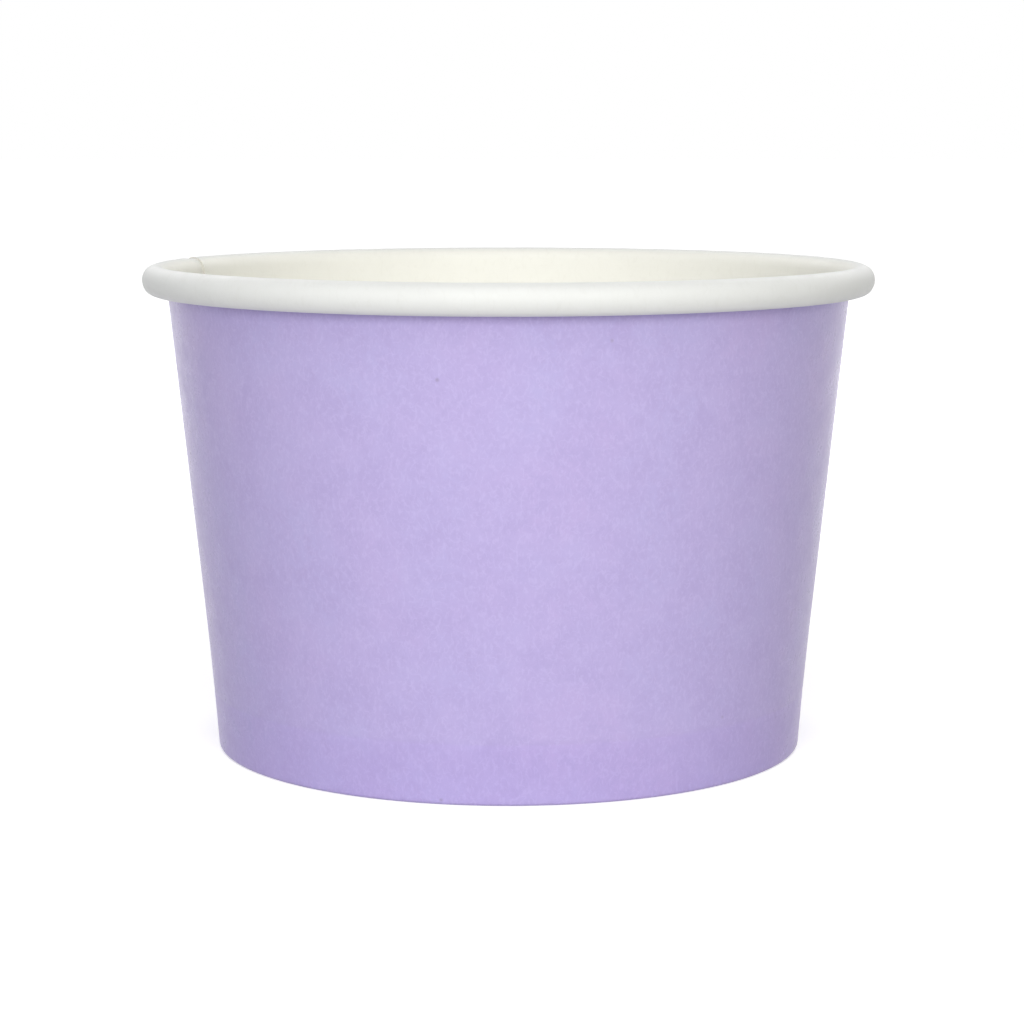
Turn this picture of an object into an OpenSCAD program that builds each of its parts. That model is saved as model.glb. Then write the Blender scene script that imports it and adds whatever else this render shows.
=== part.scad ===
// Paper dessert cup: a tapered wall rolled from one board blank and sealed along an overlap,
// with a rolled rim at the top and a recessed board disc sealed into its folded foot.
// Millimetres, +Z up. The origin is the centre of the flat ring that the cup stands on.
// The photograph looks along +Y, and the side seam is at the back left.

/* [Cup] */
// Outside diameter over the rolled rim
rim_d = 95; // [86:0.5:110]
// Height from the table to the top of the rim
cup_h = 63.1; // [45:0.1:100]
// Outside diameter of the wall where it meets the table
foot_d = 76.8; // [64:0.1:84]

/* [Board] */
// Thickness of the wall's board
wall_t = 0.4; // [0.3:0.05:0.55]
// Thickness of the base disc's board
disc_t = 0.4; // [0.3:0.05:0.55]
// Clearance between board faces that are sealed or rolled against each other
seal_gap = 0.03; // [0.02:0.01:0.06]

/* [Rolled rim] */
// Width of the rolled rim, measured level
rim_w = 3.5; // [3:0.1:5]
// Height of the rolled rim
rim_h = 3.8; // [3:0.1:5]
// Turn of the roll in degrees, from the wall over the top to the raw edge inside
roll_turn = 420; // [370:10:450]

/* [Base joint] */
// Height of the disc's upper face above the table
disc_z = 7.8; // [5:0.1:14]
// Outside radius of the bend between the disc and its skirt
bend_r = 0.9; // [0.6:0.1:1.5]
// Inside radius of the two bends in the wall's folded foot
fold_r = 0.08; // [0.05:0.01:0.12]
// Space between the raw edge of the folded foot and the disc above it
fold_gap = 1.2; // [0.4:0.1:2]
// How far the sealed joint holds the foot out beyond a straight taper
foot_swell = 0.3; // [0:0.05:0.6]
// Height at which that swell has died out
swell_h = 20; // [12:1:36]

/* [Side seam] */
// Direction of the inner layer's raw edge, counter-clockwise from +X
seam_turn = 160; // [0:1:359]
// Width of the overlap, halfway up the wall
lap_w = 6.5; // [4:0.5:10]
// Width over which the outer layer comes back to the round beyond that edge
lap_fall = 3; // [2.5:0.5:5]

/* [Hidden] */
// Steps in which the round forms are drawn
$fn = 120;
print_lilac = "#c6b9e6";
bare_white = "#f3f1ec";

// The centre of the rim's section, its half sizes, and the wall's slope from foot to rim
rim_a = rim_w / 2;
rim_b = rim_h / 2;
rim_r = rim_d / 2 - rim_a;
rim_z = cup_h - rim_b;
cone_foot_r = foot_d / 2 - wall_t - foot_swell;
slope = (rim_r - rim_a - cone_foot_r) / rim_z;
lean = atan(slope);

// The roll starts where its outline lies along the wall. Its raw end is drawn in below the
// first turn, from the underside of the rim onwards.
roll_start = atan(slope * rim_h / rim_w);
roll_step = 10;
tuck_start = 225;
tuck_end = 360;

// The skirt's slot in the folded foot, and the heights of its raw edges
slot_w = disc_t + 2 * seal_gap;
bend_z = wall_t + fold_r;
skirt_z = bend_z + seal_gap;
fold_top_z = disc_z - disc_t - fold_gap;
bend_steps = 6;
wall_steps = 8;
skirt_steps = 4;

// The seam's widths in degrees round the middle of the wall, and the outer layer's drop for
// each millimetre of its fall, where the round wall itself drops away below a flat tangent
mid_r = (rim_d + foot_d) / 4;
lap_turn = lap_w / mid_r * 180 / PI;
fall_turn = lap_fall / mid_r * 180 / PI;
fall_drop = wall_t / lap_fall + lap_fall / (2 * mid_r);

// The outer layer runs from the folded foot into the rolled rim. It is drawn past the end of
// its fall and down into the inner layer, to be cut to its form and to be one with the wall.
lap_low_z = bend_z;
lap_high_z = rim_z + 0.4 * rim_b;
lap_spare_turn = 0.6 * fall_turn;
lap_root = wall_t / 2;
cut_reach = 2;

// The step at the inner layer's raw edge shows from the disc upwards
step_low_z = disc_z - bend_r;

// Radius of the wall's coated inside face at height z
function face_r(z) = cone_foot_r + slope * z + foot_swell * pow(max(0, 1 - z / swell_h), 2);

// How far the roll lies inside the round outline of the rim after a turn of a degrees
function tuck(a) = (wall_t + seal_gap)
    * (1 - cos(180 * min(1, max(0, (a - tuck_start) / (tuck_end - tuck_start))))) / 2;

function roll_point(a) =
    [rim_r - (rim_a - tuck(a)) * cos(a), rim_z + (rim_b - tuck(a)) * sin(a)];

function between(low, high, steps, i) = low + (high - low) * i / steps;

function arc(centre, r, from, to, steps) =
    [for (i = [0:steps]) let (a = between(from, to, steps, i)) centre + r * [cos(a), sin(a)]];

// A line that keeps the distance inset from the wall's inside face
function wall_line(low, high, steps, inset = 0) =
    [for (i = [0:steps]) let (z = between(low, high, steps, i)) [face_r(z) - inset, z]];

function unit(v) = v / norm(v);

function way(path, i) = unit(path[i + 1] - path[i]);

// Direction of a path at point i, halfway between the stretches that meet there
function heading(path, i) = i == 0 ? way(path, 0)
    : i == len(path) - 1 ? way(path, i - 1)
    : unit(way(path, i - 1) + way(path, i));

// Section of a board whose coated face follows path, with its thickness t on the right
function board_section(path, t) = concat(path, [
    for (i = [len(path) - 1:-1:0])
        let (d = heading(path, i)) path[i] + t * [d.y, -d.x]
]);

// From the folded-in raw edge down, across the foot, up the wall and round the roll
wall_path = concat(
    wall_line(fold_top_z, bend_z, skirt_steps, slot_w),
    arc([face_r(bend_z) - slot_w + fold_r, bend_z], fold_r, 180, 270, bend_steps),
    arc([face_r(bend_z) - fold_r, bend_z], fold_r, 270, 360, bend_steps),
    wall_line(bend_z + wall_t, swell_h, wall_steps),
    [roll_point(roll_start)],
    [for (a = [roll_step:roll_step:roll_turn]) roll_point(a)]
);

// From the middle of the disc out, over its bend and down the skirt
disc_path = concat(
    [[0, disc_z]],
    arc([face_r(disc_z - bend_r) - seal_gap - bend_r, disc_z - bend_r], bend_r, 90, 0, 2 * bend_steps),
    wall_line(disc_z - bend_r - disc_t, skirt_z, skirt_steps, seal_gap)
);

// Puts a section drawn in outward and tangential lengths along the wall at the seam's inner
// edge. It rises along the lean of the wall from height low to height high.
module along_seam(low, high) {
    rotate([0, 0, seam_turn])
        translate([cone_foot_r, 0, 0])
            rotate([0, lean, 0])
                translate([0, 0, low / cos(lean)])
                    linear_extrude(height = (high - low) / cos(lean))
                        children();
}

// Section of the space beyond the flat slope on which the outer layer falls, from the length
// start along the wall. The slope passes the inner layer's raw edge at the outward height top,
// and side is 1 for the space outside it and -1 for the space inside.
module beyond_fall(top, side, start) {
    end = 2 * lap_fall;
    polygon([
        [top - fall_drop * start, start],
        [top - fall_drop * end, end],
        [top - fall_drop * end + side * cut_reach, end],
        [top - fall_drop * start + side * cut_reach, start]
    ]);
}

// The overlapping outer layer, from its raw edge to where it has come back to the round
module seam_lap() {
    outside = concat(
        wall_line(lap_low_z, swell_h, wall_steps, -2 * wall_t),
        [[face_r(lap_high_z) + 2 * wall_t, lap_high_z]]
    );
    inside = concat(
        [[face_r(lap_high_z) + lap_root, lap_high_z]],
        wall_line(swell_h, lap_low_z, wall_steps, -lap_root)
    );
    difference() {
        rotate([0, 0, seam_turn - lap_turn])
            rotate_extrude(angle = lap_turn + fall_turn + lap_spare_turn)
                polygon(concat(outside, inside));
        along_seam(-1, cup_h)
            beyond_fall(2 * wall_t, 1, -lap_fall / 2);
    }
}

// The side wall: one board with its rolled rim, its folded foot and its overlapped seam
module side_wall() {
    color(print_lilac)
        difference() {
            union() {
                rotate_extrude()
                    polygon(board_section(wall_path, wall_t));
                seam_lap();
            }
            along_seam(step_low_z, cup_h)
                beyond_fall(wall_t, -1, 0);
        }
}

// The base disc: a flat board with its edge turned down into the folded foot
module base_disc() {
    color(bare_white)
        rotate_extrude()
            polygon(board_section(disc_path, disc_t));
}

side_wall();
base_disc();
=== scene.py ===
"""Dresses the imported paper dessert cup.

The cup is two pieces of coated board. The side wall is one blank, printed lilac outside and
left white inside, that is rolled to a cone, sealed along an overlap, rolled outwards into the
rim at the top and folded in at the foot. The base disc is a round blank with its edge turned
down into that folded foot. Both are worked out here as boards of a real thickness, with the
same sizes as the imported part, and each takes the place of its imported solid.
"""

import logging
import math
from dataclasses import dataclass, field
from enum import Enum

import bpy
import numpy as np
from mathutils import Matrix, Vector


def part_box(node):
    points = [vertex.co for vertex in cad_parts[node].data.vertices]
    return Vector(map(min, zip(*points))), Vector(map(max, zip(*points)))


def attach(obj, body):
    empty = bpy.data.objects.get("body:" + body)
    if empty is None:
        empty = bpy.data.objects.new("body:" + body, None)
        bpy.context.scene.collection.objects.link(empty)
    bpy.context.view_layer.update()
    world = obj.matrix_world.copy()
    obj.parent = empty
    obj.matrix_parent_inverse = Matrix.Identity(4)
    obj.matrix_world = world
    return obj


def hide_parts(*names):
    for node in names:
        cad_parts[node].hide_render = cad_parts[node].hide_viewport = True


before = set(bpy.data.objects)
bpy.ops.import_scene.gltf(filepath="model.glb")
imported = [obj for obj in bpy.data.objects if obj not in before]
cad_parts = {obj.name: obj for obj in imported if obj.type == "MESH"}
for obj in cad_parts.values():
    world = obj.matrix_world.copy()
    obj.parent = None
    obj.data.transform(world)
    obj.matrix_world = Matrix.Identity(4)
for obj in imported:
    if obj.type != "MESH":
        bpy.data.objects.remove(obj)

log = logging.getLogger("dessert_cup")

MM = 0.001
BODY = "root"
BOARD_MAP = "board"
SHARP_TURN = math.radians(50)

Colour = tuple[float, float, float, float]
Span = tuple[float, float]
Socket = bpy.types.NodeSocket


class Side(Enum):
    """The faces of a board, in the order of a piece's material slots.

    The coated face is the food side. The outer face is printed on the wall and bare on the disc.
    """

    COATED = 0
    OUTER = 1
    RAW = 2


def ease(x: np.ndarray) -> np.ndarray:
    """Smooth step: 0 below 0, 1 above 1, and half a cosine wave between."""
    return 0.5 - 0.5 * np.cos(np.pi * np.clip(x, 0.0, 1.0))


def bell(x: np.ndarray, middle: float, width: float) -> np.ndarray:
    """Bell curve of height 1 round middle, e to the minus (distance over width) squared."""
    return np.exp(-(((x - middle) / width) ** 2))


def spread(stops: list[float], counts: tuple[int, ...]) -> np.ndarray:
    """Even runs of values from each stop to the next, with the last stop at the end.

    Args:
        stops: The values at which the runs start and end.
        counts: How many values each run has, without the stop that ends it.

    Returns:
        All the values, in one row.
    """
    runs = [
        np.linspace(a, b, n, endpoint=False)
        for a, b, n in zip(stops[:-1], stops[1:], counts, strict=True)
    ]
    return np.concatenate([*runs, stops[-1:]])


@dataclass(frozen=True)
class CupSizes:
    """Driving sizes of the cup in metres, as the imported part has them.

    rim_w and rim_h measure the rim's rolled section, and disc_z is the height of the disc's
    upper face. bend_r is the radius of the disc's bend and fold_r that of the foot's two bends,
    both on the coated face. fold_gap lies between the folded-in edge and the disc. foot_swell
    is how far the wall stands out of its taper at the table, and it ends at swell_h.
    """

    rim_d: float
    cup_h: float
    foot_d: float = 76.8 * MM
    wall_t: float = 0.4 * MM
    disc_t: float = 0.4 * MM
    seal_gap: float = 0.03 * MM
    rim_w: float = 3.5 * MM
    rim_h: float = 3.8 * MM
    roll_turn: float = math.radians(420)
    disc_z: float = 7.8 * MM
    bend_r: float = 0.9 * MM
    fold_r: float = 0.08 * MM
    fold_gap: float = 1.2 * MM
    foot_swell: float = 0.3 * MM
    swell_h: float = 20 * MM

    @classmethod
    def of_frame(cls) -> "CupSizes":
        """Takes the rim's diameter and the cup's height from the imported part."""
        low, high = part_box("side_wall")
        return cls(rim_d=high.x - low.x, cup_h=high.z - low.z)

    @property
    def rim_r(self) -> float:
        """Radius of the circle on which the centre of the rim's section lies."""
        return self.rim_d / 2 - self.rim_w / 2

    @property
    def rim_z(self) -> float:
        """Height of the centre of the rim's section."""
        return self.cup_h - self.rim_h / 2

    @property
    def cone_foot_r(self) -> float:
        """Radius of the straight taper of the inside face, carried down to the table."""
        return self.foot_d / 2 - self.wall_t - self.foot_swell

    @property
    def slope(self) -> float:
        """Outward run of the taper for each unit of height."""
        return (self.rim_r - self.rim_w / 2 - self.cone_foot_r) / self.rim_z

    @property
    def slot_w(self) -> float:
        """Width of the slot in the folded foot that holds the disc's skirt."""
        return self.disc_t + 2 * self.seal_gap

    @property
    def bend_z(self) -> float:
        """Height at which the folded foot's bends meet its straight sides."""
        return self.wall_t + self.fold_r

    @property
    def fold_top_z(self) -> float:
        """Height of the raw edge of the folded-in foot."""
        return self.disc_z - self.disc_t - self.fold_gap

    def face_r(self, z: np.ndarray) -> np.ndarray:
        """Radius of the wall's inside face at each height: the straight taper and the swell."""
        swell = self.foot_swell * np.maximum(0.0, 1.0 - z / self.swell_h) ** 2
        return self.cone_foot_r + self.slope * z + swell


def arc(centre: tuple[float, float], radius: float, start: float, end: float,
        steps: int) -> np.ndarray:
    """Points on an arc, centre plus radius times the cosine and sine of an even run of angles.

    Args:
        centre: Radius and height of the arc's centre.
        radius: Radius of the arc.
        start: First angle in degrees.
        end: Last angle in degrees.
        steps: Number of steps between the two.

    Returns:
        An array of radius and height pairs.
    """
    a = np.radians(np.linspace(start, end, steps + 1))
    return np.stack([centre[0] + radius * np.cos(a), centre[1] + radius * np.sin(a)], axis=-1)


def across(path: np.ndarray) -> np.ndarray:
    """Unit vectors to the right of a path, square to the mean direction of its two stretches.

    Args:
        path: Array of radius and height pairs, with any number of columns in the middle axes.

    Returns:
        An array of the same shape.
    """
    way = np.diff(path, axis=0)
    way /= np.linalg.norm(way, axis=-1, keepdims=True)
    heading = np.concatenate([way[:1], way[:-1] + way[1:], way[-1:]])
    heading /= np.linalg.norm(heading, axis=-1, keepdims=True)
    return np.stack([heading[..., 1], -heading[..., 0]], axis=-1)


def turned(radius: np.ndarray, height: np.ndarray, angle: np.ndarray) -> np.ndarray:
    """Places radius and height at an angle round Z: radius times cosine, radius times sine, height.

    Args:
        radius: Radii, one for each grid point.
        height: Heights, of the same shape.
        angle: Angles in radians, one for each column.

    Returns:
        The points, with their three coordinates on a last axis.
    """
    return np.stack([radius * np.cos(angle), radius * np.sin(angle), height], axis=-1)


@dataclass
class Patchwork:
    """Collects grids of points and the faces between them for one mesh."""

    points: list[np.ndarray] = field(default_factory=list)
    maps: list[np.ndarray] = field(default_factory=list)
    faces: list[np.ndarray] = field(default_factory=list)
    sides: list[np.ndarray] = field(default_factory=list)
    count: int = 0

    def grid(self, points: np.ndarray, board_map: np.ndarray) -> np.ndarray:
        """Adds a grid of points.

        Args:
            points: Points with their coordinates on the last axis.
            board_map: Place of each point on the flat board, in metres.

        Returns:
            The number of each point, in the grid's own shape.
        """
        numbers = np.arange(points[..., 0].size).reshape(points.shape[:-1]) + self.count
        self.count += numbers.size
        self.points.append(points.reshape(-1, 3))
        self.maps.append(board_map.reshape(-1, 2))
        return numbers

    def weave(self, numbers: np.ndarray, side: Side, flip: bool = False) -> None:
        """Adds the four-sided faces of a grid of point numbers.

        Args:
            numbers: Grid of point numbers.
            side: Finish of the faces.
            flip: Whether the faces look the other way.
        """
        quads = np.stack(
            [numbers[:-1, :-1], numbers[:-1, 1:], numbers[1:, 1:], numbers[1:, :-1]], axis=-1
        ).reshape(-1, 4)
        self._keep(quads[:, ::-1] if flip else quads, side)

    def fan(self, centre: int, ring: np.ndarray, side: Side, flip: bool = False) -> None:
        """Adds three-sided faces from one point to a closed ring.

        Args:
            centre: Number of the middle point.
            ring: Numbers of the ring's points, the first one repeated at the end.
            side: Finish of the faces.
            flip: Whether the faces look the other way.
        """
        hub = np.full(len(ring) - 1, centre)
        fan = np.stack([hub, ring[:-1], ring[1:]], axis=-1)
        self._keep(fan[:, ::-1] if flip else fan, side)

    def _keep(self, faces: np.ndarray, side: Side) -> None:
        """Keeps a block of faces with its finish."""
        self.faces.append(faces)
        self.sides.append(np.full(len(faces), side.value, dtype=np.int32))

    def finish(self, name: str, finishes: dict[Side, bpy.types.Material]) -> bpy.types.Object:
        """Makes the object, with smooth faces, sharp board edges and the board's flat map.

        Args:
            name: Name of the piece.
            finishes: The material of each side.

        Returns:
            The new object, at the origin.
        """
        points = np.concatenate(self.points)
        faces = [row for block in self.faces for row in block.tolist()]
        mesh = bpy.data.meshes.new(name)
        mesh.from_pydata(points.tolist(), [], faces)
        for side in Side:
            mesh.materials.append(finishes[side])
        mesh.polygons.foreach_set("material_index", np.concatenate(self.sides))
        corner = np.empty(len(mesh.loops), dtype=np.int32)
        mesh.loops.foreach_get("vertex_index", corner)
        uv = mesh.uv_layers.new(name=BOARD_MAP)
        uv.data.foreach_set("uv", np.concatenate(self.maps)[corner].ravel())
        mesh.shade_smooth()
        mesh.set_sharp_from_angle(angle=SHARP_TURN)
        mesh.validate()
        piece = bpy.data.objects.new(name, mesh)
        bpy.context.collection.objects.link(piece)
        return piece


@dataclass(frozen=True)
class SideSeam:
    """The overlap of the blank's two side edges, the inner layer's edge first.

    edge_turn is the angle of the inner layer's raw edge. lap_w is the overlap's width, and over
    fall_w beside it the outer layer comes back to the round. Along both, the end of the rim's
    roll is drawn in further, which fades over fade_w. Under the outer layer the inner one keeps
    kept_share of its thickness, and the rest comes back over under_fade of the overlap's width.
    """

    edge_turn: float = math.radians(160)
    lap_w: float = 6.5 * MM
    fall_w: float = 3.0 * MM
    fade_w: float = 4.0 * MM
    glue_gap: float = 0.01 * MM
    kept_share: float = 0.68
    under_fade: float = 0.2
    lap_columns: int = 10
    fall_columns: int = 14
    wall_columns: int = 340

    def turns(self, sizes: CupSizes) -> np.ndarray:
        """Angles of the columns, from the inner raw edge all the way round to the outer one.

        Args:
            sizes: Sizes of the cup.

        Returns:
            Angles in radians that fall from the inner raw edge by one turn and the overlap.
        """
        lap, fall = self.lap_turn(sizes), self.fall_turn(sizes)
        stops = [0.0, lap, 2 * math.pi - fall, 2 * math.pi, 2 * math.pi + lap]
        counts = (self.lap_columns, self.wall_columns, self.fall_columns, self.lap_columns)
        return self.edge_turn - spread(stops, counts)

    def mid_r(self, sizes: CupSizes) -> float:
        """Radius halfway up the wall, where the seam's widths are measured."""
        return (sizes.rim_d + sizes.foot_d) / 4

    def lap_turn(self, sizes: CupSizes) -> float:
        """The overlap's width as an angle."""
        return self.lap_w / self.mid_r(sizes)

    def fall_turn(self, sizes: CupSizes) -> float:
        """The width of the outer layer's fall as an angle."""
        return self.fall_w / self.mid_r(sizes)

    def layer(self, turns: np.ndarray, sizes: CupSizes) -> np.ndarray:
        """How far each column lies out of the round, from 0 for the inner layer to 1.

        It is 0 until the fall, then rises over it by half a cosine wave to 1 at the overlap.

        Args:
            turns: Angles of the columns.
            sizes: Sizes of the cup.

        Returns:
            The share of one board for each column.
        """
        gone = self.edge_turn - turns
        fall = self.fall_turn(sizes)
        return ease((gone - (2 * math.pi - fall)) / fall)

    def under(self, turns: np.ndarray, sizes: CupSizes) -> np.ndarray:
        """1 on the inner layer within the overlap, fading to 0 beside it."""
        lap = self.lap_turn(sizes)
        return ease(1 - (self.edge_turn - turns - lap) / (self.under_fade * lap))

    def near(self, turns: np.ndarray, sizes: CupSizes) -> np.ndarray:
        """1 on both layers of the overlap and on the fall, fading to 0 over fade_w beside them.

        Args:
            turns: Angles of the columns.
            sizes: Sizes of the cup.

        Returns:
            A share between 0 and 1 for each column.
        """
        gone = self.edge_turn - turns
        fade = self.fade_w / self.mid_r(sizes)
        after_inner = ease(1 - (gone - self.lap_turn(sizes)) / fade)
        before_outer = ease(1 + (gone - (2 * math.pi - self.fall_turn(sizes))) / fade)
        return np.maximum(after_inner, before_outer)


@dataclass(frozen=True)
class WaveBand:
    """The whole wave numbers that a wave round the cup may have, and what picks its fixed ones."""

    low: int
    high: int
    salt: int


@dataclass(frozen=True)
class Unevenness:
    """How far the formed board is out of its true form: small waves, from a fixed seed.

    The wall's waves change with the share of the height: the broad one by the cosine of
    broad_phase times that share, and the narrow one by the sine of narrow_phase times it. The
    rim has shallow dips, and its underside hangs by rim_hang at the angle hang_turn and by less
    to both sides.
    """

    wall_depth: float = 0.05 * MM
    rim_depth: float = 0.05 * MM
    rim_hang: float = 0.16 * MM
    hang_turn: float = math.radians(-95)
    hang_w: float = math.radians(65)
    broad: WaveBand = WaveBand(2, 5, 1)
    narrow: WaveBand = WaveBand(3, 9, 2)
    dips: WaveBand = WaveBand(7, 40, 3)
    ripple: WaveBand = WaveBand(2, 6, 4)
    broad_phase: float = 2.2
    narrow_phase: float = 5.0
    waves: int = 9
    smallest: float = 0.3
    seed: int = 7

    def round_wave(self, turns: np.ndarray, band: WaveBand) -> np.ndarray:
        """A closed wave round the cup: a sum of cosines with whole wave numbers, scaled to 1.

        Args:
            turns: Angles in radians.
            band: The wave numbers to draw from.

        Returns:
            A value between -1 and 1 for each angle.
        """
        rng = np.random.default_rng([self.seed, band.salt])
        number = rng.integers(band.low, band.high + 1, self.waves)
        phase = rng.uniform(0, 2 * math.pi, self.waves)
        size = rng.uniform(self.smallest, 1.0, self.waves) / np.sqrt(number)
        wave = np.cos(np.multiply.outer(turns, number) + phase) @ size
        return wave / size.sum()

    def hang(self, turns: np.ndarray) -> np.ndarray:
        """How far the underside of the rim hangs down at the front: a bell curve of the angle."""
        away = np.angle(np.exp(1j * (turns - self.hang_turn)))
        return self.rim_hang * bell(away, 0.0, self.hang_w)


@dataclass
class SideWall:
    """The rolled, seamed, curled and folded board of the cup's side.

    A groove runs round the wall over the foot's seal. From press_top down over press_h, and over
    the first press_roll of the rim's roll, the seam's layers come to be pressed flat. Between
    tuck_start and tuck_end the roll's end is drawn in. The wall's rows are closest from
    seal_below under the disc's face to seal_above over it. The last few start rim_below under
    the middle of the rim and end last_share of the way down from it to the disc.
    """

    sizes: CupSizes
    seam: SideSeam
    uneven: Unevenness
    finishes: dict[Side, bpy.types.Material]
    groove_z: float = 7.62 * MM
    groove_w: float = 0.36 * MM
    groove_depth: float = 0.035 * MM
    press_top: float = 4.0 * MM
    press_h: float = 3.0 * MM
    press_roll: float = math.radians(90)
    tuck_start: float = math.radians(225)
    tuck_end: float = math.radians(360)
    seal_below: float = 1.6 * MM
    seal_above: float = 1.2 * MM
    rim_below: float = 3.0 * MM
    last_share: float = 0.01
    wall_steps: tuple[int, ...] = (5, 15, 28, 3)
    leg_steps: int = 5
    bend_steps: int = 5
    roll_step: float = math.radians(8)

    def wall_heights(self) -> np.ndarray:
        """Heights of the rows up the wall, closer together at the foot's seal.

        Returns:
            The heights, from the foot's bend to just under the middle of the rim.
        """
        s = self.sizes
        stops = [
            s.bend_z + s.wall_t,
            s.disc_z - self.seal_below,
            s.disc_z + self.seal_above,
            s.rim_z - self.rim_below,
            s.rim_z - self.last_share * (s.rim_z - s.disc_z),
        ]
        return spread(stops, self.wall_steps)

    def roll_turns(self) -> np.ndarray:
        """Angles of the rows round the rim's roll, from the wall over the top to the raw edge.

        Returns:
            Angles in radians, 0 on the side of the section that faces the axis and a quarter of a
            turn at its top.
        """
        s = self.sizes
        start = math.atan(s.slope * s.rim_h / s.rim_w)
        steps = round((s.roll_turn - start) / self.roll_step)
        return np.linspace(start, s.roll_turn, steps + 1)

    def section(self, turns: np.ndarray) -> tuple[np.ndarray, np.ndarray]:
        """The coated face's path, from the folded-in raw edge to the raw edge inside the roll.

        The folded leg and the wall keep their distances from the inside face, two arcs join
        them under the skirt, and the roll is an ellipse whose end is drawn in by one board, and
        by two where the seam passes under it.

        Args:
            turns: Angles of the columns.

        Returns:
            The radius and height of each row and column, and how far the foot's seal or the
            rim's roll presses the seam's layers flat in each row.
        """
        s = self.sizes
        leg_z = np.linspace(s.fold_top_z, s.bend_z, self.leg_steps, endpoint=False)
        foot_r = float(s.face_r(np.array(s.bend_z)))
        wall_z = self.wall_heights()
        groove = self.groove_depth * bell(wall_z, self.groove_z, self.groove_w)
        fixed = np.concatenate([
            np.stack([s.face_r(leg_z) - s.slot_w, leg_z], axis=-1),
            arc((foot_r - s.slot_w + s.fold_r, s.bend_z), s.fold_r, 180, 270, self.bend_steps),
            arc((foot_r - s.fold_r, s.bend_z), s.fold_r, 270, 360, self.bend_steps),
            np.stack([s.face_r(wall_z) - groove, wall_z], axis=-1),
        ])
        fixed = np.repeat(fixed[:, None, :], len(turns), axis=1)

        roll = self.roll_turns()[:, None]
        drawn_in = s.wall_t * (1 + self.seam.near(turns, s)) + s.seal_gap
        tuck = drawn_in * ease((roll - self.tuck_start) / (self.tuck_end - self.tuck_start))
        hang = self.uneven.hang(turns) * np.minimum(0.0, np.sin(roll))
        rolled = np.stack([
            s.rim_r - (s.rim_w / 2 - tuck) * np.cos(roll),
            s.rim_z + (s.rim_h / 2 - tuck) * np.sin(roll) + hang,
        ], axis=-1)
        path = np.concatenate([fixed, rolled])

        in_foot = ease((self.press_top - fixed[:, :1, 1]) / self.press_h)
        on_rim = ease(roll / self.press_roll)
        return path, np.concatenate([in_foot, on_rim])

    def build(self) -> bpy.types.Object:
        """Makes the board: its path shifted out by the layer, and both faces of its thickness.

        Returns:
            The finished piece.
        """
        s = self.sizes
        turns = self.seam.turns(s)
        path, pressed = self.section(turns)
        right = across(path)

        layer = self.seam.layer(turns, s)
        under = self.seam.under(turns, s)
        squeeze = 1 + pressed * (self.squeeze(np.maximum(layer, under)) - 1)
        lift = layer * (self.seam.kept_share * s.wall_t + self.seam.glue_gap) * squeeze
        thick = s.wall_t * (1 - (1 - self.seam.kept_share) * under) * squeeze
        coated = path + right * lift[..., None]
        printed = path + right * (lift + thick)[..., None]

        wobble = self.wobble(turns, path[..., 1])
        length = np.linalg.norm(np.diff(path[:, 0], axis=0), axis=-1)
        along = np.concatenate([[0.0], np.cumsum(length)])
        flat = np.stack(np.broadcast_arrays(
            (self.seam.edge_turn - turns)[None, :] * self.seam.mid_r(s), along[:, None]
        ), axis=-1)

        work = Patchwork()
        inner = work.grid(turned(coated[..., 0] + wobble, coated[..., 1], turns), flat)
        outer = work.grid(turned(printed[..., 0] + wobble, printed[..., 1], turns), flat)
        work.weave(inner, Side.COATED)
        work.weave(outer, Side.OUTER, flip=True)
        for edge, flip in (
            (np.stack([inner[0], outer[0]]), True),
            (np.stack([inner[-1], outer[-1]]), False),
            (np.stack([inner[:, 0], outer[:, 0]]), False),
            (np.stack([inner[:, -1], outer[:, -1]]), True),
        ):
            work.weave(edge, Side.RAW, flip)
        return work.finish("side_wall_board", self.finishes)

    def squeeze(self, doubled: np.ndarray) -> np.ndarray:
        """Share of thickness that a pressed column keeps: one board over its layers' height."""
        glued = self.seam.kept_share + self.seam.glue_gap / self.sizes.wall_t
        return 1 / (1 + doubled * glued)

    def wobble(self, turns: np.ndarray, height: np.ndarray) -> np.ndarray:
        """Radial unevenness: waves up the middle of the wall, and short dips inwards on the rim.

        Args:
            turns: Angles of the columns.
            height: Heights of the grid points.

        Returns:
            What is added to each radius. On the rim it is never above 0.
        """
        s = self.sizes
        u = self.uneven
        share = np.clip(height / s.cup_h, 0.0, 1.0)
        wall = u.wall_depth * np.sin(np.pi * share) ** 2 * (
            u.round_wave(turns, u.broad) * np.cos(u.broad_phase * share)
            + u.round_wave(turns, u.narrow) * np.sin(u.narrow_phase * share)
        )
        on_rim = ease((height - (s.rim_z - s.rim_h)) / s.rim_h)
        rim = -u.rim_depth * (0.5 + 0.5 * u.round_wave(turns, u.dips)) * on_rim
        return wall * (1 - on_rim) + rim

    def dress(self, piece: bpy.types.Object) -> None:
        """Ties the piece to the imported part.

        Args:
            piece: The finished board.
        """
        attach(piece, BODY)
        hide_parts("side_wall")


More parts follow.
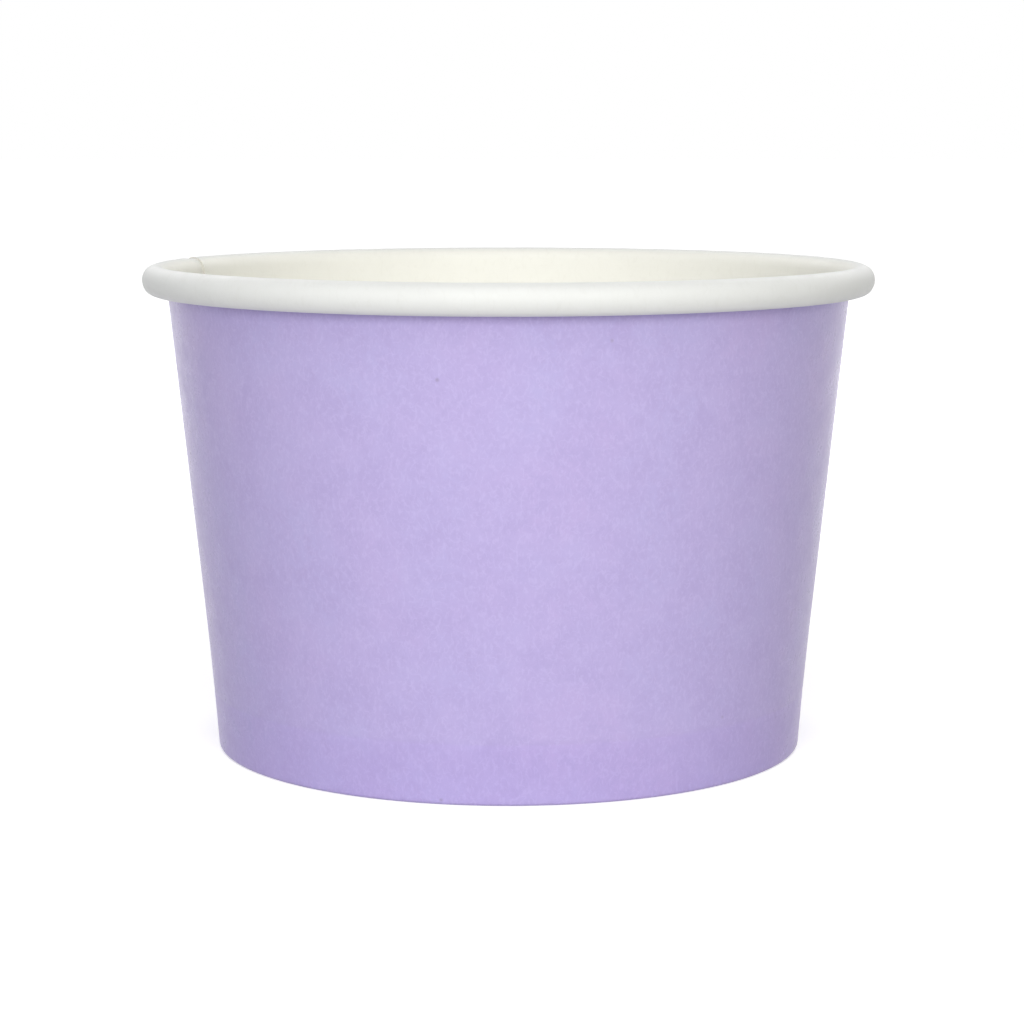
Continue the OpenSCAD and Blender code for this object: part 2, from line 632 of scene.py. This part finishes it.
@dataclass
class BaseDisc:
    """The recessed disc with its edge turned down into the folded foot.

    Its middle sags by dish, and between middle and edge it ripples by ripple_share of that.
    """

    sizes: CupSizes
    uneven: Unevenness
    finishes: dict[Side, bpy.types.Material]
    dish: float = 0.12 * MM
    ripple_share: float = 0.15
    columns: int = 288
    flat_rows: int = 26
    bend_steps: int = 9
    skirt_steps: int = 5

    def path(self) -> np.ndarray:
        """The upper face's path, from beside the middle out, over the bend and down the skirt.

        Returns:
            An array of radius and height pairs.
        """
        s = self.sizes
        bend_z = s.disc_z - s.bend_r
        bend_r = float(s.face_r(np.array(bend_z))) - s.seal_gap - s.bend_r
        flat_r = np.linspace(0, bend_r, self.flat_rows + 1)[1:-1]
        skirt_z = np.linspace(bend_z - s.disc_t, s.bend_z + s.seal_gap, self.skirt_steps)
        return np.concatenate([
            np.stack([flat_r, np.full_like(flat_r, s.disc_z)], axis=-1),
            arc((bend_r, bend_z), s.bend_r, 90, 0, self.bend_steps),
            np.stack([s.face_r(skirt_z) - s.seal_gap, skirt_z], axis=-1),
        ])

    def build(self) -> bpy.types.Object:
        """Makes the disc: its path turned right round, both faces, one raw edge and two poles.

        The sag is one minus the square of the share of the radius, and the ripple is a closed
        wave round the disc that is strongest halfway out.

        Returns:
            The finished piece.
        """
        s = self.sizes
        top = self.path()
        under = top + across(top) * s.disc_t
        turns = np.linspace(0, 2 * math.pi, self.columns, endpoint=False)
        reach = top[:, 0].max()
        length = np.linalg.norm(np.diff(top, axis=0), axis=-1)
        along = top[0, 0] + np.concatenate([[0.0], np.cumsum(length)])
        flat = np.stack([np.outer(along, np.cos(turns)), np.outer(along, np.sin(turns))], axis=-1)
        sag = self.dish * (1 - np.clip(top[:, 0] / reach, 0, 1) ** 2)
        u = self.uneven
        ripple = self.ripple_share * self.dish * u.round_wave(turns, u.ripple)
        share = ease(1 - abs(2 * top[:, 0] / reach - 1))
        lift = np.outer(share, ripple) - sag[:, None]

        work = Patchwork()
        rings = []
        for face in (top, under):
            radius = np.repeat(face[:, :1], self.columns, axis=1)
            on_flat = face[:, 1:] > s.disc_z - s.bend_r
            height = face[:, 1:] + np.where(on_flat, lift, lift[self.flat_rows - 1])
            rings.append(work.grid(turned(radius, height, turns), flat))
        poles = work.grid(
            np.array([[0, 0, s.disc_z - self.dish], [0, 0, s.disc_z - s.disc_t - self.dish]]),
            np.zeros((2, 2)),
        )
        closed = [np.concatenate([r, r[:, :1]], axis=1) for r in rings]
        work.weave(closed[0], Side.COATED, flip=True)
        work.weave(closed[1], Side.OUTER)
        work.weave(np.stack([closed[0][-1], closed[1][-1]]), Side.RAW, flip=True)
        work.fan(poles[0], closed[0][0], Side.COATED)
        work.fan(poles[1], closed[1][0], Side.OUTER, flip=True)
        return work.finish("base_disc_board", self.finishes)

    def dress(self, piece: bpy.types.Object) -> None:
        """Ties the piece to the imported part.

        Args:
            piece: The finished board.
        """
        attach(piece, BODY)
        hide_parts("base_disc")


@dataclass(frozen=True)
class Grain:
    """A noise: its blotches to the metre, its finer layers and how strong each of them is."""

    scale: float
    layers: float
    strength: float


@dataclass(frozen=True)
class Fibres:
    """Short winding lines along a noise's middle value: so many to the metre, and so wide.

    A second noise, finer by run_scale, breaks them into runs: there is no line where it is below
    run_range, and the whole line where it is above.
    """

    scale: float
    width: float
    layers: float = 1
    strength: float = 0.5
    run_scale: float = 1.6
    run_range: Span = (0.44, 0.60)

    @property
    def lines(self) -> Grain:
        """The noise whose middle value the lines follow."""
        return Grain(self.scale, self.layers, self.strength)

    @property
    def breaks(self) -> Grain:
        """The noise that breaks the lines into runs."""
        return Grain(self.run_scale * self.scale, self.layers, self.strength)


@dataclass(frozen=True)
class Relief:
    """A bump: its strength and its depth in metres."""

    strength: float
    depth: float


class NodeSheet:
    """A material's or the world's node tree, with short calls to add and join nodes."""

    def __init__(self, tree: bpy.types.NodeTree) -> None:
        """Takes the node tree to fill, and empties it."""
        self.tree = tree
        tree.nodes.clear()

    def add(self, kind: str, inputs: dict | None = None, **settings: object) -> bpy.types.Node:
        """Adds a node, and sets or joins its inputs.

        Args:
            kind: Type of the node, without its first words.
            inputs: A value or an output socket for each named or numbered input.
            settings: The node's own settings.

        Returns:
            The new node.
        """
        node = self.tree.nodes.new("ShaderNode" + kind)
        for name, value in settings.items():
            setattr(node, name, value)
        for name, value in (inputs or {}).items():
            if isinstance(value, Socket):
                self.tree.links.new(value, node.inputs[name])
            else:
                node.inputs[name].default_value = value
        return node

    def noise(self, vector: Socket, grain: Grain) -> Socket:
        """A noise between 0 and 1."""
        return self.add("TexNoise", {
            "Vector": vector, "Scale": grain.scale, "Detail": grain.layers,
            "Roughness": grain.strength,
        }).outputs["Fac"]

    def scaled(self, vector: Socket, scale: tuple[float, float, float]) -> Socket:
        """A vector stretched along each axis."""
        return self.add("Mapping", {"Vector": vector, "Scale": scale}).outputs["Vector"]

    def span(self, value: Socket, low: float, high: float, to_low: float = 0,
             to_high: float = 1) -> Socket:
        """Maps a value from one range to another, clamped."""
        return self.add("MapRange", {
            "Value": value, "From Min": low, "From Max": high, "To Min": to_low, "To Max": to_high,
        }).outputs["Result"]

    def combine(self, a: Socket, b: Socket | float, operation: str = "ADD") -> Socket:
        """One step of arithmetic on two values."""
        return self.add("Math", {0: a, 1: b}, operation=operation).outputs[0]

    def fibres(self, vector: Socket, fibres: Fibres) -> Socket:
        """Winding lines where a noise passes its middle value, in runs that a second noise breaks.

        Args:
            vector: Place on the surface.
            fibres: The lines' number, width and runs.

        Returns:
            1 in the middle of a line, falling to 0 at its sides and where its runs end.
        """
        middle = self.combine(self.noise(vector, fibres.lines), 0.5, "SUBTRACT")
        line = self.span(self.combine(middle, 0.0, "ABSOLUTE"), 0, fibres.width, 1, 0)
        runs = self.span(self.noise(vector, fibres.breaks), *fibres.run_range)
        return self.combine(line, runs, "MULTIPLY")

    def mix(self, factor: Socket | float, a: Socket | Colour, b: Socket | Colour,
            blend: str = "MIX") -> Socket:
        """Blends two colours, at the inputs 6 and 7 and the output 2 that a Mix node has for them."""
        return self.add("Mix", {0: factor, 6: a, 7: b}, data_type="RGBA", blend_type=blend).outputs[2]

    def bump(self, height: Socket, relief: Relief, over: Socket | None = None) -> Socket:
        """Roughens the surface by a height.

        Args:
            height: The height to follow.
            relief: The bump's strength and depth.
            over: The bump that it lies on, if there is one.

        Returns:
            The surface's new direction.
        """
        inputs = {"Strength": relief.strength, "Distance": relief.depth, "Height": height}
        if over is not None:
            inputs["Normal"] = over
        return self.add("Bump", inputs).outputs["Normal"]

    def surface(self, inputs: dict) -> None:
        """Ends a material's tree with the shader that has these inputs."""
        shader = self.add("BsdfPrincipled", inputs)
        self.add("OutputMaterial", {"Surface": shader.outputs["BSDF"]})


def sheet_for(name: str) -> tuple[bpy.types.Material, NodeSheet]:
    """Starts a material with an empty node tree.

    Args:
        name: Name of the material.

    Returns:
        The material and its node sheet.
    """
    material = bpy.data.materials.new(name)
    material.use_nodes = True
    return material, NodeSheet(material.node_tree)


@dataclass(frozen=True)
class Speck:
    """A dark fleck in the board: its angle in degrees, its height, its radius and its depth."""

    turn: float
    height: float
    radius: float
    depth: float


@dataclass(frozen=True)
class LilacPrint:
    """Flat lilac print under a satin coat, with the board's fibres showing through it.

    Each range is the part of a noise over which what it drives goes from none to all. Upright
    fibres follow the flat board, stretched by upright_scale, and slanting ones lie in any
    direction. Below seal_z the colour turns a little darker and more saturated, which sets in
    over seal_fade to both sides. A speck is darkest within speck_core of its radius.
    """

    ink: Colour = (0.546, 0.466, 0.800, 1.0)
    deeper: Colour = (0.506, 0.428, 0.752, 1.0)
    rosy: Colour = (0.565, 0.458, 0.781, 1.0)
    cool: Colour = (0.522, 0.478, 0.799, 1.0)
    fibre: Colour = (0.631, 0.557, 0.874, 1.0)
    # A little darker and more saturated below seal_z.
    pressed: Colour = (0.965, 0.945, 0.990, 1.0)
    fleck: Colour = (0.16, 0.13, 0.20, 1.0)
    mottle: Grain = Grain(170, 5, 0.94)
    mottle_range: Span = (0.40, 0.62)
    tint: Grain = Grain(75, 4, 0.62)
    tint_range: Span = (0.36, 0.64)
    tint_share: float = 0.5
    upright: Fibres = Fibres(1, 0.06)
    upright_scale: tuple[float, float, float] = (1250, 620, 1)
    slanting: Fibres = Fibres(1000, 0.06)
    fibre_share: float = 0.42
    board_relief: Relief = Relief(0.35, 0.012 * MM)
    dimple: Grain = Grain(420, 2, 0.5)
    dimple_relief: Relief = Relief(0.5, 0.02 * MM)
    seal_z: float = 7.6 * MM
    seal_fade: float = 0.3 * MM
    roughness: float = 0.30
    gloss_range: Span = (0.4, 0.6)
    gloss_swing: float = 0.04
    ior: float = 1.16
    coat: float = 0.08
    coat_roughness: float = 0.12
    coat_ior: float = 1.40
    speck_core: float = 0.2
    specks: tuple[Speck, ...] = (
        Speck(-100.9, 51.7 * MM, 0.34 * MM, 0.30),
        Speck(-74.1, 56.2 * MM, 0.30 * MM, 0.24),
        Speck(-102.1, 0.6 * MM, 0.34 * MM, 0.30),
        Speck(-47.8, 8.9 * MM, 0.30 * MM, 0.16),
    )

    def material(self, sizes: CupSizes) -> bpy.types.Material:
        """Builds the nodes: mottle, tints, fibres, a darker band below the seal, flecks and bump.

        Args:
            sizes: Sizes of the cup, on whose wall the specks lie.

        Returns:
            The material.
        """
        material, sheet = sheet_for("lilac_print")
        place = sheet.add("TexCoord").outputs["Object"]
        board = sheet.add("UVMap", uv_map=BOARD_MAP).outputs["UV"]

        mottle = sheet.noise(place, self.mottle)
        tint = sheet.noise(place, self.tint)
        upright = sheet.fibres(sheet.scaled(board, self.upright_scale), self.upright)
        slanting = sheet.fibres(place, self.slanting)
        fibres = sheet.combine(upright, slanting, "MAXIMUM")

        colour = sheet.mix(sheet.span(tint, *self.tint_range), self.cool, self.rosy)
        colour = sheet.mix(self.tint_share, self.ink, colour)
        colour = sheet.mix(sheet.span(mottle, *self.mottle_range), colour, self.deeper)
        colour = sheet.mix(sheet.combine(fibres, self.fibre_share, "MULTIPLY"), colour, self.fibre)
        height = sheet.add("SeparateXYZ", {0: place}).outputs["Z"]
        # Darker and more saturated below seal_z, fading in over seal_fade to both sides.
        foot = sheet.span(height, self.seal_z + self.seal_fade, self.seal_z - self.seal_fade)
        colour = sheet.mix(foot, colour, self.pressed, "MULTIPLY")
        for speck in self.specks:
            colour = self._fleck(sheet, place, colour, speck, sizes)

        board_bump = sheet.bump(sheet.combine(mottle, fibres), self.board_relief)
        dimple = sheet.noise(place, self.dimple)
        low, high = self.roughness - self.gloss_swing, self.roughness + self.gloss_swing
        bump = sheet.bump(dimple, self.dimple_relief, board_bump)
        sheet.surface({
            "Base Color": colour,
            "Roughness": sheet.span(mottle, *self.gloss_range, low, high),
            "Normal": bump,
            "IOR": self.ior,
            "Coat Weight": self.coat,
            "Coat Roughness": self.coat_roughness,
            "Coat IOR": self.coat_ior,
        })
        return material

    def _fleck(self, sheet: NodeSheet, place: Socket, colour: Socket, speck: Speck,
               sizes: CupSizes) -> Socket:
        """Darkens the colour within a speck's radius of its place on the wall.

        Args:
            sheet: The material's node sheet.
            place: Place on the surface.
            colour: The colour so far.
            speck: The speck.
            sizes: Sizes of the cup.

        Returns:
            The colour with the speck in it.
        """
        turn = math.radians(speck.turn)
        radius = float(sizes.face_r(np.array(speck.height))) + sizes.wall_t
        spot = (radius * math.cos(turn), radius * math.sin(turn), speck.height)
        away = sheet.add("VectorMath", {0: place, 1: spot}, operation="DISTANCE").outputs["Value"]
        cover = sheet.span(away, speck.radius, self.speck_core * speck.radius, 0, speck.depth)
        return sheet.mix(cover, colour, self.fleck)


@dataclass(frozen=True)
class WhiteBoard:
    """White board under a thin clear food coat, painted lighter and creamier inside the cup than on
    the rim.

    As painted light the coated face is lighter and creamier inside the cup, and as painted shade
    it is a dimmer white on the lamp-lit rim; the one turns to the other from cream_in to white_in
    inside the middle of the rim's section.
    Mottle and fibres wear the colour towards the shade, by up to worn_share at worn_full.
    """

    name: str = "white_coated_board"
    # Dimmed as painted shade, so that the lamp-lit rim stays below white.
    white: Colour = (0.803, 0.810, 0.803, 1.0)
    # Painted light: lighter and warmer than the rim's white, for the dimmer inside of the cup.
    cream: Colour = (0.903, 0.896, 0.846, 1.0)
    shade: Colour = (0.955, 0.952, 0.945, 1.0)
    cream_in: float = 1.3 * MM
    white_in: float = 0.3 * MM
    mottle: Grain = Grain(200, 5, 0.86)
    mottle_range: Span = (0.40, 0.62)
    mottle_share: float = 0.6
    fibres: Fibres = Fibres(1, 0.05)
    fibre_scale: tuple[float, float, float] = (900, 420, 1)
    worn_full: float = 1.6
    worn_share: float = 0.7
    relief: Relief = Relief(0.4, 0.010 * MM)
    roughness: float = 0.60
    gloss_range: Span = (0.4, 0.6)
    gloss_swing: float = 0.05
    ior: float = 1.45
    coat: float = 0.05
    coat_roughness: float = 0.3

    @classmethod
    def uncoated(cls) -> "WhiteBoard":
        """The same board without its coat, as it is under the disc."""
        return cls("white_uncoated_board", cream=(0.855, 0.845, 0.815, 1.0), roughness=0.75,
                   coat=0.0, relief=Relief(0.4, 0.02 * MM))

    def material(self, sizes: CupSizes) -> bpy.types.Material:
        """Builds the nodes: two whites by radius as painted light, soft mottle, fibres and bump under
        the coat.

        Args:
            sizes: Sizes of the cup, whose rim the painted split of white and inner colour follows.

        Returns:
            The material.
        """
        material, sheet = sheet_for(self.name)
        place = sheet.add("TexCoord").outputs["Object"]
        board = sheet.add("UVMap", uv_map=BOARD_MAP).outputs["UV"]
        level = sheet.scaled(place, (1, 1, 0))
        radius = sheet.add("VectorMath", {0: level}, operation="LENGTH").outputs["Value"]
        # Painted light and shade: one coated face, lighter and creamier inside the cup, a dimmer
        # white on the rim.
        on_rim = sheet.span(radius, sizes.rim_r - self.cream_in, sizes.rim_r - self.white_in)
        colour = sheet.mix(on_rim, self.cream, self.white)
        mottle = sheet.noise(place, self.mottle)
        fibres = sheet.fibres(sheet.scaled(board, self.fibre_scale), self.fibres)
        blotches = sheet.span(mottle, *self.mottle_range, 0, self.mottle_share)
        worn = sheet.combine(blotches, fibres)
        colour = sheet.mix(
            sheet.span(worn, 0, self.worn_full, 0, self.worn_share),
            colour,
            sheet.mix(1.0, colour, self.shade, "MULTIPLY"),
        )
        bump = sheet.bump(sheet.combine(mottle, fibres), self.relief)
        low, high = self.roughness - self.gloss_swing, self.roughness + self.gloss_swing
        sheet.surface({
            "Base Color": colour,
            "Roughness": sheet.span(mottle, *self.gloss_range, low, high),
            "Normal": bump,
            "IOR": self.ior,
            "Coat Weight": self.coat,
            "Coat Roughness": self.coat_roughness,
        })
        return material


@dataclass(frozen=True)
class RawEdge:
    """The board's cut edge: uncoated fibres in fine plies, darker and greyer than cut board as
    painted shade.
    """

    # Painted shade: both fibre colours are darker and greyer than cut board, for the shade in the
    # fibres and along the seam's step; the mottle between them is the fibres' own.
    pulp_and_painted_shade: Colour = (0.640, 0.625, 0.575, 1.0)
    dark: Colour = (0.545, 0.525, 0.475, 1.0)
    grain: Grain = Grain(5200, 3, 0.65)
    grain_range: Span = (0.35, 0.70)
    grain_share: float = 0.6
    plies: Grain = Grain(1400, 2, 0.5)
    plies_range: Span = (0.50, 0.70)
    plies_share: float = 0.3
    relief: Relief = Relief(0.8, 0.03 * MM)
    roughness: float = 0.9

    def material(self) -> bpy.types.Material:
        """Builds the nodes: coarse fibres, and a dull rough face.

        Returns:
            The material.
        """
        material, sheet = sheet_for("raw_board_edge")
        place = sheet.add("TexCoord").outputs["Object"]
        grain = sheet.noise(place, self.grain)
        plies = sheet.noise(place, self.plies)
        fibres = sheet.span(grain, *self.grain_range, 0, self.grain_share)
        colour = sheet.mix(fibres, self.pulp_and_painted_shade, self.dark)
        layers = sheet.span(plies, *self.plies_range, 0, self.plies_share)
        colour = sheet.mix(layers, colour, self.dark)
        bump = sheet.bump(grain, self.relief)
        sheet.surface({"Base Color": colour, "Roughness": self.roughness, "Normal": bump})
        return material


@dataclass(frozen=True)
class SoftBox:
    """A flat studio lamp that looks at the middle of the cup.

    Its angles are in degrees, its sizes and distance in metres and its power in watts. Azimuth 0
    is the camera's side, and positive is to its right.
    """

    name: str
    azimuth: float
    elevation: float
    width: float
    height: float
    power: float
    colour: tuple[float, float, float] = (1.0, 1.0, 1.0)
    distance: float = 0.9

    def light(self, aim: tuple[float, float, float]) -> None:
        """Hangs the lamp.

        Args:
            aim: The point that the lamp faces.
        """
        a, e = math.radians(self.azimuth), math.radians(self.elevation)
        data = bpy.data.lights.new(self.name, "AREA")
        data.shape = "RECTANGLE"
        data.size, data.size_y = self.width, self.height
        data.energy = self.power
        data.color = self.colour
        lamp = bpy.data.objects.new(self.name, data)
        lamp.location = (
            aim[0] + self.distance * math.sin(a) * math.cos(e),
            aim[1] - self.distance * math.cos(a) * math.cos(e),
            aim[2] + self.distance * math.sin(e),
        )
        lamp.rotation_euler = (math.pi / 2 - e, 0, a)
        lamp.visible_camera = False
        bpy.context.collection.objects.link(lamp)


@dataclass
class Studio:
    """A pale floor, white surroundings, soft lamps, and the camera of the photograph.

    The floor's lift grows from floor_lift within lit_floor_r to 1, which is white, at
    far_floor_r. The camera looks down by camera_dip degrees and sees from seen_from to seen_to.
    """

    sizes: CupSizes
    world_light: float = 0.14
    floor_w: float = 12.0
    floor_lines: int = 3
    floor_grey: Colour = (0.70, 0.70, 0.70, 1.0)
    floor_lift: float = 0.56
    lit_floor_r: float = 0.08
    far_floor_r: float = 0.45
    camera_x: float = 0.444 * MM
    camera_y: float = -360.1 * MM
    camera_z: float = 81.0 * MM
    camera_dip: float = 8.02
    lens_mm: float = 96.74
    sensor_mm: float = 36.0
    seen_from: float = 0.01
    seen_to: float = 50.0
    lamps: tuple[SoftBox, ...] = (
        SoftBox("left_softbox", -16, 18, 0.40, 0.40, 2.44, (0.975, 0.992, 1.0)),
        SoftBox("right_softbox", 16, 18, 0.40, 0.40, 2.44, (1.0, 0.988, 0.890)),
        SoftBox("high_softbox", 0, 58, 0.60, 0.60, 2.81),
        SoftBox("back_left_softbox", -150, 32, 0.50, 0.50, 2.00),
        SoftBox("back_right_softbox", 150, 32, 0.50, 0.50, 2.00),
    )

    def build(self) -> None:
        """Makes the floor, the world, the lamps and the camera."""
        self.floor()
        self.world()
        for lamp in self.lamps:
            lamp.light((0.0, 0.0, self.sizes.cup_h / 2))
        self.camera()
        bpy.context.scene.view_settings.view_transform = "Standard"

    def floor(self) -> None:
        """A level sheet under the cup, white to the eye but for the cup's shadow.

        To the eye it has a lift that grows from the lit middle outwards, as the lamps' light dies
        away.
        """
        half = self.floor_w / 2
        side = np.linspace(-half, half, self.floor_lines)
        x, y = np.meshgrid(side, side)
        points = np.stack([x, y, np.zeros_like(x)], axis=-1)
        work = Patchwork()
        work.weave(work.grid(points, points[..., :2]), Side.COATED)
        material, sheet = sheet_for("pale_floor")
        place = sheet.add("TexCoord").outputs["Object"]
        away = sheet.add("VectorMath", {0: place}, operation="LENGTH").outputs["Value"]
        strength = sheet.span(away, self.lit_floor_r, self.far_floor_r, self.floor_lift, 1.0)
        plain = sheet.add("BsdfDiffuse", {"Color": self.floor_grey}).outputs[0]
        lift = sheet.add("Emission", {"Strength": strength}).outputs[0]
        bright = sheet.add("AddShader", {0: plain, 1: lift}).outputs[0]
        shown = sheet.add("MixShader", {0: self.seen(sheet), 1: plain, 2: bright}).outputs[0]
        sheet.add("OutputMaterial", {"Surface": shown})
        floor = work.finish("studio_floor", dict.fromkeys(Side, material))

    def seen(self, sheet: NodeSheet) -> Socket:
        """Tells rays that are seen from rays that only light the cup.

        Args:
            sheet: The node sheet that asks.

        Returns:
            1 for a ray seen straight, in a reflection or through a clear piece, and 0 otherwise.
        """
        path = sheet.add("LightPath").outputs
        mirrored = sheet.combine(path["Is Glossy Ray"], path["Is Transmission Ray"], "MAXIMUM")
        return sheet.combine(path["Is Camera Ray"], mirrored, "MAXIMUM")

    def world(self) -> None:
        """White to the eye and in reflections, and a plain soft light otherwise."""
        world = bpy.data.worlds.new("studio_world")
        bpy.context.scene.world = world
        world.use_nodes = True
        sheet = NodeSheet(world.node_tree)
        strength = sheet.span(self.seen(sheet), 0, 1, self.world_light, 1.0)
        white = sheet.add("Background", {"Color": (1, 1, 1, 1), "Strength": strength})
        sheet.add("OutputWorld", {"Surface": white.outputs[0]})

    def camera(self) -> None:
        """The photograph's camera: in front of the cup, a little above its rim, looking down."""
        data = bpy.data.cameras.new("photo_camera")
        data.lens = self.lens_mm
        data.sensor_width = self.sensor_mm
        data.clip_start, data.clip_end = self.seen_from, self.seen_to
        camera = bpy.data.objects.new("photo_camera", data)
        camera.location = (self.camera_x, self.camera_y, self.camera_z)
        camera.rotation_euler = (math.radians(90 - self.camera_dip), 0, 0)
        bpy.context.collection.objects.link(camera)
        bpy.context.scene.camera = camera


def main() -> None:
    """Builds the cup's two boards in order, and the studio round them."""
    logging.basicConfig(level=logging.INFO, format="%(message)s")
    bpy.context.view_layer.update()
    sizes = CupSizes.of_frame()
    uneven = Unevenness()

    coated = WhiteBoard().material(sizes)
    printed = LilacPrint().material(sizes)
    uncoated = WhiteBoard.uncoated().material(sizes)
    raw = RawEdge().material()

    wall = SideWall(sizes, SideSeam(), uneven, {
        Side.COATED: coated, Side.OUTER: printed, Side.RAW: raw,
    })
    disc = BaseDisc(sizes, uneven, {
        Side.COATED: coated, Side.OUTER: uncoated, Side.RAW: raw,
    })
    for part in (wall, disc):
        piece = part.build()
        part.dress(piece)
        log.info("%s: %d faces", piece.name, len(piece.data.polygons))
    Studio(sizes).build()


if __name__ == "__main__":
    main()
